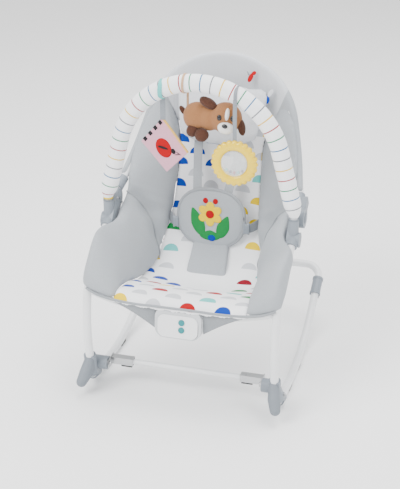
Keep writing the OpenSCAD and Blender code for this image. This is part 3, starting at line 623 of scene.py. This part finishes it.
# the back cover: the arch's radius and where it starts, the cloth's distance from the tube's middle, the hollow
shell = {"arch": 0.175, "start": 13.5, "wall": 0.0122, "sunk": 0.046}


def backShell():
    # cloth pulled over the back tube: from a spine out to the tube, round it, and back behind; bottom edge closed
    legs, turns, rays, roll = 30, 60, 22, 9
    low = smoothLine(tubeLine, legs)
    angle = np.linspace(math.radians(shell["start"]), math.pi / 2, turns)[1:]
    arch = archCentre + shell["arch"] * (np.cos(angle)[:, None] * [[1, 0, 0]] + np.sin(angle)[:, None] * backUp)
    right = np.concatenate([low, arch])
    sunk = archCentre - shell["sunk"] * backOut
    spine = np.concatenate([smoothLine([(0, .366, .424), (0, .374, .462), (0, .380, .500), sunk], legs),
                            np.repeat(sunk[None], len(arch), 0)])
    edge = np.concatenate([right, (right * [-1, 1, 1])[-2::-1]])
    centre = np.concatenate([spine, spine[-2::-1]])
    lean = np.concatenate([np.linspace(0.62, 1, legs), np.ones(turns - 1)])
    lean = np.concatenate([lean, lean[-2::-1]])[:, None]
    out = backOut * lean + np.array([0, -0.62, 0.785]) * (1 - lean)
    out /= np.linalg.norm(out, axis=1)[:, None]
    ray = edge - centre
    proud = (ray * out).sum(1)[:, None, None]
    power = np.interp(edge[:, 2], [.43, .58, .66], [4.2, 3.2, 1.6])[:, None, None]
    outward = ray / np.linalg.norm(ray, axis=1)[:, None]
    t = np.linspace(0, 1, rays)[None, :, None]
    upLeg = np.concatenate([np.linspace(0, 1, legs), np.ones(turns - 1)])
    upLeg = np.concatenate([upLeg, upLeg[-2::-1]])[:, None, None]
    wall = shell["wall"] * np.clip(upLeg / 0.05, 0.02, 1) ** 0.5
    front = centre[:, None] + ray[:, None] * t + out[:, None] * (
        wall * (1 - 0.35 * np.sin(t * math.pi)) + proud * (t ** power - t))
    t = t[:, ::-1]
    rear = centre[:, None] + ray[:, None] * t - out[:, None] * (
        wall * (1 - 0.25 * np.sin(t * math.pi)) - proud * (t ** power - t))
    a = np.linspace(0, math.pi, roll + 2)[1:-1][None, :, None]
    rim = edge[:, None] + out[:, None] * wall * np.cos(a) + outward[:, None] * wall * np.sin(a)
    grid = np.concatenate([front, rim, rear], 1)
    side = np.concatenate([np.ones(rays + roll // 2 + 1), np.zeros(rays + roll - roll // 2 - 1)])
    flags = {"front": np.broadcast_to(side, grid.shape[:2])}
    return gridPiece("backShell", grid, flags=flags)


done(backShell(), backCloth, "backrest", "pale_fabric", "back_panel", pad=0.2)


headRest = {"half": 0.092, "spread": 0.030, "low": -0.035, "tall": 0.150, "sag": 0.018, "base": 0.010,
            "front": 0.024, "back": 0.004}


def pillow():
    # rows up the headrest, each a padded lens; the lower lip stands proud of the panel
    rows, columns = 60, 72
    s = np.linspace(0, 1, rows)[:, None]
    half = (headRest["half"] + headRest["spread"] * s) * (1 - 0.30 * np.clip((s - 0.6) / 0.4, 0, 1) ** 3)
    a = np.linspace(0, 2 * math.pi, columns, endpoint=False)[None]
    sag = headRest["sag"] * np.cos(a) ** 2 * (1 - s)        # the lower edge hangs lowest in the middle
    up = headRest["low"] + headRest["tall"] * s + sag
    ends = np.clip(np.minimum(s / 0.10, (1 - s) / 0.45), 0, 1) ** 0.5
    x = half * np.sign(np.cos(a)) * np.abs(np.cos(a)) ** 0.8
    full = np.where(np.sin(a) > 0, headRest["front"] * (1 - 0.45 * s), headRest["back"])
    rise = headRest["base"] + ends * full * np.sign(np.sin(a)) * np.abs(np.sin(a)) ** 0.7
    grid = archCentre + x[..., None] * [1, 0, 0] + up[..., None] * backUp + rise[..., None] * backOut
    return gridPiece("headPillow", grid, ring=True)


head = inflate(pillow(), 2.5, 0.005)
done(head, jersey, "backrest", "pale_fabric", "head_pillow", pad=0.7)

print("stage: harness")


def crotch():
    # a wide soft strap, waisted, from the seat up behind the plate
    path = smoothLine([(0.0, .213, .221), (0, .222, .238), (0, .238, .255), (0, .254, .274), (0, .2675, .296)], 30)
    half = np.interp(np.linspace(0, 1, 30), [0, 0.5, 1], [0.048, 0.045, 0.042])
    base = strapSection(2.0, 0.013)
    section = base[None] * np.stack([half, np.ones(30)], -1)[:, None]
    return sweep("crotchStrap", path, section, up=(0, 0.6, -0.8))


done(crotch(), melange, "root", "grey_fabric", "crotch_panel", pad=0.35)

plate = {"centre": (0.0, 0.261, 0.349), "width": 0.160, "height": 0.142, "thick": 0.020, "rim": 0.0042,
         "lean": 0.035}


def plateOutline():
    # a wide superellipse: (x, z) about the plate's middle
    a = np.linspace(0, 2 * math.pi, 96, endpoint=False)
    c, s = np.cos(a), np.sin(a)
    x = plate["width"] / 2 * np.sign(c) * np.abs(c) ** 0.82
    z = plate["height"] / 2 * np.sign(s) * np.abs(s) ** 0.86
    return np.stack([x, z], -1)


def plateFace(x, z, lift=0.0):
    # the plate's front surface: a low dome over its outline, leaning back by the plate's lean
    far = np.clip((np.abs(x) / (plate["width"] / 2)) ** 2.4 + (np.abs(z) / (plate["height"] / 2)) ** 2.4, 0, 1)
    y = plate["centre"][1] - plate["thick"] / 2 * (0.35 + 0.65 * (1 - far) ** 0.5) - lift
    return np.stack([plate["centre"][0] + x, y + plate["lean"] * z, plate["centre"][2] + z], -1)


def bellyPlate():
    t = np.linspace(0, 1, 22)
    disc = t[:, None, None] * plateOutline()[None]
    front = plateFace(disc[..., 0], disc[..., 1])
    rear = front.copy()
    rear[..., 1] = 2 * (plate["centre"][1] + plate["lean"] * disc[..., 1]) - front[..., 1]
    return gridPiece("bellyPlate", np.concatenate([front, rear[::-1]]), ring=True)


def plateRim():
    x, z = plateOutline().T
    path = np.stack([x, plate["centre"][1] + plate["lean"] * z, plate["centre"][2] + z], -1)
    path = np.concatenate([path, path[:3]])
    return sweep("plateRim", path, circleSection(plate["rim"], 12), up=(0, 1, 0), capped=False)


done(inflate(bellyPlate(), 2.0, 0.0008, 0.004), melange, "root", "grey_fabric", "belly_plate", pad=0.6)
done(plateRim(), pipingCloth, "root", "grey_fabric")


def applique(name, outline, material, lift, face=plateFace, body="root", slot="grey_fabric"):
    # a flat felt shape laid on a face: rings from its middle out to an outline of (x, z) points
    o = np.array(outline, float)
    middle = o.mean(0)
    t = np.linspace(0, 1, 8)[:, None, None]
    spots = middle + (o - middle)[None] * t
    rounded = lift + 0.0008 * np.sqrt(1 - np.linspace(0, 1, 8) ** 4)[:, None]
    top = face(spots[..., 0], spots[..., 1], rounded)
    under = face(spots[..., 0], spots[..., 1], lift - 0.0004)
    return done(gridPiece(name, np.concatenate([top, under[::-1]]), ring=True), material, body, slot)


def oval(x, z, a, b, turn=0.0, point=0.0):
    # an ellipse; point above 0 draws its upper end to a tip
    t = np.linspace(0, 2 * math.pi, 32, endpoint=False)
    u, v = a * np.cos(t) * (1 - point * np.clip(np.sin(t), 0, 1)), b * np.sin(t)
    c, s = math.cos(turn), math.sin(turn)
    return np.stack([x + c * u + s * v, z - s * u + c * v], -1)


def platePicture():
    # leaves round a plain flower: three leaves, six petals, a middle and two berries
    for i, (x, z, a, b, turn) in enumerate([(-.031, -.008, .016, .036, -0.35), (.032, -.016, .015, .030, 0.35),
                                            (0, -.040, .026, .013, 0.0)]):
        applique(f"leaf{i}", oval(x, z, a, b, turn, point=0.5), felt["green"], 0.0012)
    for i in range(6):
        a = i * math.pi / 3
        applique(f"petal{i}", oval(.017 * math.sin(a), .014 + .017 * math.cos(a), .0105, .0135, a), felt["yellow"],
                 0.0024 + 0.0002 * (i % 2))
    applique("flowerMiddle", oval(0, .014, .010, .010), felt["red"], 0.0036)
    for i, x in enumerate((-.012, .012)):
        applique(f"berry{i}", oval(x, .046, .0062, .0068), felt["red"], 0.0012)
    applique("pondDrop", oval(.004, -.046, .009, .008), felt["blue"], 0.0026)


platePicture()


strapSize = {"width": .021, "thick": .0022}


def harnessStraps():
    # on each side a waist strap from the plate to its buckle and a shoulder strap up to the headrest
    section = strapSection(strapSize["width"], strapSize["thick"])
    for side, word in ((-1, "Left"), (1, "Right")):
        waist = smoothLine([(side * .079, .262, .331), (side * .092, .262, .332), (side * .104, .276, .335),
                            (side * .112, .287, .338)], 20)
        done(sweep("waistStrap" + word, waist, section, up=(0, 1, 0)), webbing, "root", "webbing",
             *(["waist_straps"] if side < 0 else []))
        shoulder = smoothLine([(side * .036, .268, .405), (side * .039, .279, .424), (side * .044, .300, .455),
                               (side * .050, .325, .490), (side * .052, .338, .512)], 30)
        done(sweep("shoulderStrap" + word, shoulder, section, up=(0, -.9, .4)), melange, "backrest", "webbing",
             *(["shoulder_straps"] if side < 0 else []))


harnessStraps()


def buckle(side):
    # a side-release buckle: a rounded body with a waist and two ribs, as one swept section that changes width
    t = np.linspace(0, 1, 24)
    path = np.stack([side * (.0795 + .013 * t), np.full(24, .2585), np.full(24, .332)], -1)
    wide = 0.029 - 0.005 * np.sin(math.pi * t) ** 2
    deep = 0.0085 + 0.0015 * (np.sin(6 * math.pi * t) > 0.3)
    section = strapSection(1.0, 1.0)[None] * np.stack([wide, deep], -1)[:, None]
    return sweep("buckle" + ("Right" if side > 0 else "Left"), path, section, up=(0, 1, 0))


buckles = joined("waistBuckles", [buckle(-1), buckle(1)])
done(buckles, greyPlastic, "root", "grey_plastic", "waist_buckles")

print("stage: front edge")


def frontPiping():
    # a cord along the seat's front edge: the left half's points, mirrored for the right half
    left = np.array([(-.2165, -.006, .264), (-.19, -.011, .254), (-.15, -.012, .2465), (-.10, -.013, .2435),
                     (-.05, -.014, .2445), (0, -.014, .2445)])
    line = np.concatenate([left, (left * [-1, 1, 1])[-2::-1]])
    return sweep("frontPiping", smoothLine(line, 120), circleSection(.0028, 12))


def skirt(side):
    # a gusset: from a line beside the unit out along the seat's front edge, with a slight billow
    u, v = np.meshgrid(np.linspace(0, 1, 28), np.linspace(0, 1, 20), indexing="ij")
    inner = np.stack([np.full_like(v, .0545), np.full_like(v, -.0045), .184 + (.2435 - .184) * v], -1)
    outer = np.stack([np.full_like(v, .152), np.full_like(v, -.0075), .240 + .0045 * v], -1)
    grid = inner + (outer - inner) * u[..., None] ** 0.92
    grid[..., 1] -= 0.003 * np.sin(math.pi * u) * np.sin(math.pi * v)
    grid[..., 2] += 0.004 * np.sin(math.pi * u) * (1 - v)
    grid[..., 0] *= side
    piece = solidified(gridPiece("skirt" + ("Right" if side > 0 else "Left"), grid), 0.0014)
    return done(piece, darkCloth, "root", "grey_fabric", *(["unit_skirt"] if side < 0 else []))


done(frontPiping(), pipingCloth, "root", "grey_fabric")
for side in (-1, 1):
    skirt(side)

print("stage: toy bar")
bar = {"top": 0.189, "foot": 0.2175, "footZ": 0.411, "stub": 0.012, "bend": 0.060, "lean": math.radians(14.4),
       "sleeve": 0.0198}
barLeg = (bar["foot"] - bar["bend"] * (1 - math.cos(bar["lean"]))
          - bar["top"] * math.cos(bar["lean"])) / math.sin(bar["lean"])
archZ = (bar["footZ"] + bar["stub"] + bar["bend"] * math.sin(bar["lean"]) + barLeg * math.cos(bar["lean"])
         - bar["top"] * math.sin(bar["lean"]))


def barPath():
    # foot, short bend, leaning leg and round top on the left; mirrored on the right
    count = 260
    a = np.linspace(0, bar["lean"], 12)
    bend = np.stack([-bar["foot"] + bar["bend"] * (1 - np.cos(a)),
                     bar["footZ"] + bar["stub"] + bar["bend"] * np.sin(a)], -1)
    a = np.linspace(math.pi - bar["lean"], math.pi / 2, 60)
    top = np.stack([bar["top"] * np.cos(a), archZ + bar["top"] * np.sin(a)], -1)
    left = np.concatenate([[[-bar["foot"], bar["footZ"] + bar["stub"] - .004]], bend, top])
    line = np.concatenate([left, (left * [-1, 1])[-2::-1]])
    s = np.concatenate([[0], np.cumsum(np.linalg.norm(np.diff(line, axis=0), axis=1))])
    t = np.linspace(0, s[-1], count)
    return np.stack([np.interp(t, s, line[:, 0]), np.full(count, toyY), np.interp(t, s, line[:, 1])], -1), t


path, run = barPath()
ends = np.clip(np.minimum(run, run[-1] - run) / 0.034, 0, 1)
quilt = 1 - 0.035 * np.exp(-((np.mod(run / stripe["pitch"], 1) - 0.5) / 0.10) ** 2)
radius = (0.0105 + (bar["sleeve"] - 0.0105) * np.sin(ends * math.pi / 2)) * quilt
sections = circleSection(1.0, 40)[None] * radius[:, None, None]
sleeve = sweep("toyBarSleeve", path, sections, up=(0, 1, 0))
done(sleeve, sleeveCloth, "toy_bar", "bar_fabric", "toy_bar_sleeve", pad=0.6)
tip = sweep("sleeveTip", path[:4] - [[0, 0, .002]], circleSection(.0112, 24), up=(0, 1, 0))
done(tip, felt["yellow"], "toy_bar", "bar_fabric")


def barAt(x):
    # height of the bar's middle above a point across it
    return archZ + math.sqrt(bar["top"] ** 2 - x * x)


def loopOver(name, x, width, material, body, slot):
    # a webbing loop round the sleeve at x
    a = np.linspace(0, 2 * math.pi, 48)
    r = bar["sleeve"] + 0.0014
    z = barAt(x)
    line = np.stack([np.full(48, x), toyY + r * np.sin(a), z + r * np.cos(a)], -1)
    section = strapSection(width, .0018)[:, ::-1]
    return done(sweep(name, line, section, up=(1, 0, 0), capped=False), material, body, slot)


def hangingStrap(name, x, low, width, material, body, slot, node, y=toyY):
    # a webbing strap that hangs from the sleeve at x, y down to low
    top = barAt(x) - (bar["sleeve"] + 0.0010 if y == toyY else 0.004)
    line = np.stack([np.full(16, x), np.full(16, y), np.linspace(top, low, 16)], -1)
    line[:, 1] += 0.0008 * np.sin(np.linspace(0, math.pi, 16)) * (1 if y >= toyY else -1)
    return done(sweep(name, line, strapSection(width, .0018), up=(0, 1, 0)), material, body, slot, node)


loopOver("flagLoop", -.083, .010, felt["teal"], "toy_bar", "webbing")
loopOver("ringLoop", ringSpot[0], .0075, webbing, "toy_bar", "webbing")
loopOver("plushLoop", -.032, .0050, tanWebbing, "toy_bar", "webbing")
hangingStrap("flagStrap", -.083, .617, .012, webbing, "flag", "webbing", "flag_strap")
hangingStrap("ringStrap", ringSpot[0], .588, .009, webbing, "rattle", "webbing", "ring_strap", ringSpot[1])
hangingStrap("plushStrap", -.032, .640, .0055, tanWebbing, "plush", "webbing", "plush_strap", .1793)

print("stage: flag")
flagCorners = np.array([(-.085, .620), (-.135, .562), (-.075, .495), (-.026, .545)])


def flagPoint(u, v, lift=0.0):
    # corner 0 is the top; u runs to the right corner and v to the left one, with a soft wave in depth
    p = ((1 - u) * (1 - v))[..., None] * flagCorners[0] + (u * (1 - v))[..., None] * flagCorners[3] \
        + (u * v)[..., None] * flagCorners[2] + ((1 - u) * v)[..., None] * flagCorners[1]
    y = toyY - lift + 0.0035 * np.sin(3.2 * u + 1) * np.sin(2.4 * v + .5)
    return np.stack([p[..., 0], y, p[..., 1]], -1)


def flagPrint(name, outline, material, lift):
    return applique(name, outline, material, lift, flagPoint, "flag", "flag_cloth")


def flag():
    u, v = np.meshgrid(np.linspace(0, 1, 40), np.linspace(0, 1, 40), indexing="ij")
    piece = solidified(gridPiece("flagCloth", flagPoint(u, v)), 0.0022)
    done(piece, pinkCloth, "flag", "flag_cloth", "flag_toy")
    for i in range(4):
        v0 = 0.08 + 0.235 * i
        c = np.array([(0.0, 0.0), (0.10, 0.0), (0.10, 0.115), (0.0, 0.115)]) + [-0.015, v0]
        c = np.concatenate([np.linspace(c[k], c[(k + 1) % 4], 6, endpoint=False) for k in range(4)])
        flagPrint(f"flagSquare{i}", c, blackFelt, 0.0014)
    flagPrint("beetleBody", oval(.52, .56, .25, .24), felt["red"], 0.0014)
    flagPrint("beetleSplit", oval(.50, .57, .16, .035, 0.75), blackFelt, 0.0024)
    flagPrint("beetleHead", oval(.74, .36, .07, .07), blackFelt, 0.0018)
    for i, turn in enumerate((0.5, 1.1)):
        flagPrint(f"feeler{i}", oval(.86, .26 + .06 * i, .085, .010, turn), blackFelt, 0.0014)
    edge = flagPoint(np.linspace(0, 1, 40), np.full(40, -0.012))
    done(sweep("goldRibbon", edge, strapSection(.0045, .0040), up=(0, 1, 0)), goldRibbon, "flag", "flag_cloth")


flag()

print("stage: soft dog")


def dogPart(at, radii, turn=0.0, lumps=0.0):
    # one soft lump of the dog, by its place on the bar's own plane
    return gridPiece("part", blob(np.array(at) + dogSpot, radii, turn, lumps), ring=True)


def dog():
    # a plain soft dog lying level: body, big head, muzzle, ears and paws, each a lumpy blob
    y = toyY
    body = joined("dogBody", [dogPart((-.004, y, .635), (.033, .029, .032), 0.1, .03),
                              dogPart((.022, y, .634), (.030, .028, .030), 0.0, .02),
                              dogPart((.062, y - .004, .638), (.036, .031, .035), 0.1, .02)])
    done(inflate(body, 1.5, 0.002, 0.004), tanPile, "plush", "plush", "plush_toy", pad=0.8)
    brown = joined("dogEarsPaws", [dogPart((.024, y - .012, .671), (.022, .013, .011), 0.45, .05),
                                   dogPart((.097, y - .004, .620), (.0085, .011, .020), -0.2, .05),
                                   dogPart((-.010, y - .020, .607), (.014, .014, .014), 0.2, .05),
                                   dogPart((.012, y - .024, .600), (.016, .014, .015), -0.2, .05),
                                   dogPart((-.037, y, .645), (.006, .006, .012), -0.6, .05)])
    done(brown, brownPile, "plush", "plush")
    done(joined("dogMuzzle", [dogPart((.068, y - .031, .624), (.018, .012, .014), 0.1, .04),
                              dogPart((.072, y - .0315, .655), (.0045, .008, .014), 0.1)]),
         creamPile, "plush", "plush")
    face = [dogPart((.070, y - .0445, .632), (.0066, .004, .0050), 0.1)]
    face += [dogPart((.055 + dx, y - .0345, .647), (.0052, .0035, .0068)) for dx in (0.0, .030)]
    done(joined("dogNoseEyes", face), glossBlack, "plush", "plush")


dog()

print("stage: rattle")


ringSize = {"outer": .0485, "inner": .0292, "deep": .0164, "scallop": .0042, "scallops": 24}


def rattleRing():
    # a fat ring with a scalloped rim: the outer radius swells once per scallop, and the section is round
    turns, around = 288, 36
    a = np.linspace(0, 2 * math.pi, turns, endpoint=False)[:, None]
    b = np.linspace(0, 2 * math.pi, around, endpoint=False)[None]
    outer = ringSize["outer"] + ringSize["scallop"] * np.abs(np.cos(ringSize["scallops"] / 2 * a)) ** 0.8
    mid, half = (outer + ringSize["inner"]) / 2, (outer - ringSize["inner"]) / 2
    r = mid + half * np.sign(np.cos(b)) * np.abs(np.cos(b)) ** 0.8
    y = -ringSize["deep"] / 2 * np.sign(np.sin(b)) * np.abs(np.sin(b)) ** 0.75 + 0 * a
    grid = ringSpot + np.stack([r * np.sin(a), y, r * np.cos(a)], -1)
    grid = np.concatenate([grid, grid[:1]])
    return gridPiece("scallopedRing", grid, ring=True)


done(rattleRing(), yellowPlastic, "rattle", "yellow_plastic", "rattle_ring")

print("stage: prints")


def headFace(x, up, lift):
    # points on the headrest's front, by distance across and up from the arch's middle
    return archCentre + np.array(x)[..., None] * [1, 0, 0] + np.array(up)[..., None] * backUp \
        + (np.zeros_like(x) + lift + 0.0128)[..., None] * backOut


def headPrint(name, outline, material, lift=0.0008):
    return applique(name, outline, material, lift, headFace, "backrest", "pale_fabric")


for i, (x, up, a, b, turn) in enumerate([(.062, .128, .0055, .011, 0.35), (.069, .139, .0045, .0060, 0.9)]):
    headPrint(f"redBug{i}", oval(x, up, a, b, turn), felt["red"], 0.0008 + .0003 * i)
headPrint("redBugWing", oval(.056, .137, .0016, .007, -0.6), webbing)
headPrint("blueBug", oval(.104, .080, .0085, .0100), felt["blue"])
headPrint("blueBugWingLeft", oval(.093, .094, .005, .010, -0.5), jersey)
headPrint("blueBugWingRight", oval(.113, .096, .005, .010, 0.5), jersey)

print("stage: studio")
view = {"target": (0, .1634, .3228), "toCamera": (0.25078, -0.87631, 0.41136), "distance": 2.7767, "lens": 89.26,
        "roll": -0.12}
lens = bpy.data.cameras.new("camera")
lens.lens = view["lens"]
lens.sensor_width = 36
camera = bpy.data.objects.new("camera", lens)
bpy.context.scene.collection.objects.link(camera)
aim = Vector(view["target"]) + Vector((0, legY, 0))
camera.location = aim + Vector(view["toCamera"]) * view["distance"]
camera.rotation_euler = (aim - camera.location).to_track_quat("-Z", "Y").to_euler()
camera.rotation_euler.rotate_axis("Z", math.radians(view["roll"]))
bpy.context.scene.camera = camera

u, v = np.meshgrid(np.linspace(-6, 6, 9), np.linspace(-6, 6, 9), indexing="ij")
floor = gridPiece("floor", np.stack([u, v, np.zeros_like(u)], -1), shift=False)
floorPaint, tree, surface = newMaterial("floorPaint", Roughness=0.7)
tone = mixed(tree, noise(tree, 3.0), rgba((0.96, 0.96, 0.96)), rgba((0.975, 0.975, 0.975)))
tree.links.new(tone, surface.inputs["Base Color"])
floor.data.materials.append(floorPaint)
if floor.data.polygons[0].normal.z < 0:
    floor.data.flip_normals()

for name, spot, size, power in (("key", (-1.6, -2.2, 2.8), 2.0, 150), ("fill", (2.4, -1.4, 1.8), 2.4, 45),
                                ("top", (0.3, 0.8, 3.2), 2.2, 120)):
    lamp = bpy.data.lights.new(name, "AREA")
    lamp.size = size
    lamp.energy = power
    light = bpy.data.objects.new(name, lamp)
    light.location = spot
    light.rotation_euler = (Vector((0, 0, .35)) - Vector(spot)).to_track_quat("-Z", "Y").to_euler()
    bpy.context.scene.collection.objects.link(light)
world = bpy.data.worlds.new("studio")
bpy.context.scene.world = world
world.use_nodes = True
world.node_tree.nodes["Background"].inputs[0].default_value = (1, 1, 1, 1)
world.node_tree.nodes["Background"].inputs[1].default_value = 1.15
